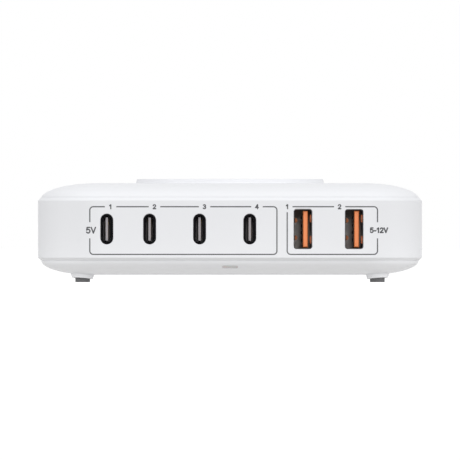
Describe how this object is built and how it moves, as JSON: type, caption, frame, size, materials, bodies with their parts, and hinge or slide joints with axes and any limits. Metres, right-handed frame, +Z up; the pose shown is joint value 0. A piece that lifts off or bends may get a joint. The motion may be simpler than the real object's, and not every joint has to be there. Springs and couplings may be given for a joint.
{
  "type": "multi port usb desktop charger",
  "caption": "Low rounded square desktop charger with upright USB-C and USB-A sockets in its front face and a round wireless charging pad on top.",
  "frame": {"origin": "on the desk under the middle of the case", "axes": "+X to the right seen from the front, +Y to the back, +Z up; the sockets face -Y"},
  "size_m": [0.12, 0.12, 0.0323],
  "materials": {
    "case_white": "fine moulded satin",
    "pad_white": "fine moulded satin",
    "grip_silicone": "soft matt",
    "foot_rubber": "soft matt",
    "light_pipe": "frosted",
    "socket_steel": "blackened",
    "socket_grey": "satin",
    "socket_black": "satin",
    "tongue_orange": "satin",
    "contact_gold": "plated",
    "inlet_black": "satin",
    "pin_nickel": "plated",
    "screw_steel": "zinc plated",
    "coil_copper": "enamelled wire",
    "ferrite": "ground",
    "circuit_board": "solder mask",
    "insulating_film": "film",
    "led_package": "moulded",
    "winding_tape": "film tape",
    "capacitor_sleeve": "shrink sleeve",
    "capacitor_can": "drawn",
    "component_yellow": "moulded",
    "component_black": "moulded",
    "heat_sink": "rolled sheet"
  },
  "bodies": {
    "root": {"board_screws": "screw_steel", "bottom_cover": "case_white", "bridge_rectifier": "component_black", "bulk_capacitor_1": "capacitor_sleeve", "bulk_capacitor_2": "capacitor_sleeve", "bulk_capacitor_3": "capacitor_sleeve", "case_screws": "screw_steel", "charging_coil": "coil_copper", "charging_pad": "pad_white", "choke_core": "ferrite", "choke_winding": "coil_copper", "ferrite_disc": "ferrite", "foot_back_left": "foot_rubber", "foot_back_right": "foot_rubber", "foot_front_left": "foot_rubber", "foot_front_right": "foot_rubber", "grip_ring": "grip_silicone", "heat_sink": "heat_sink", "inlet_body": "inlet_black", "inlet_pins": "pin_nickel", "insulating_sheet": "insulating_film", "light_pipe": "light_pipe", "main_board": "circuit_board", "mains_fuse": "component_black", "output_capacitor_1": "capacitor_can", "output_capacitor_2": "capacitor_can", "output_capacitor_3": "capacitor_can", "output_capacitor_4": "capacitor_can", "output_choke_1": "component_black", "output_choke_2": "component_black", "output_choke_3": "component_black", "output_choke_4": "component_black", "pad_board": "circuit_board", "side_frame": "case_white", "status_led": "led_package", "suppression_capacitor": "component_yellow", "top_cover": "case_white", "transformer_core": "ferrite", "transformer_winding": "winding_tape", "usb_a_1_base": "socket_black", "usb_a_1_contacts": "contact_gold", "usb_a_1_shell": "socket_steel", "usb_a_1_tongue": "tongue_orange", "usb_a_2_base": "socket_black", "usb_a_2_contacts": "contact_gold", "usb_a_2_shell": "socket_steel", "usb_a_2_tongue": "tongue_orange", "usb_c_1_contacts": "contact_gold", "usb_c_1_insulator": "socket_grey", "usb_c_1_shell": "socket_steel", "usb_c_2_contacts": "contact_gold", "usb_c_2_insulator": "socket_grey", "usb_c_2_shell": "socket_steel", "usb_c_3_contacts": "contact_gold", "usb_c_3_insulator": "socket_grey", "usb_c_3_shell": "socket_steel", "usb_c_4_contacts": "contact_gold", "usb_c_4_insulator": "socket_grey", "usb_c_4_shell": "socket_steel"}
  },
  "joints": []
}
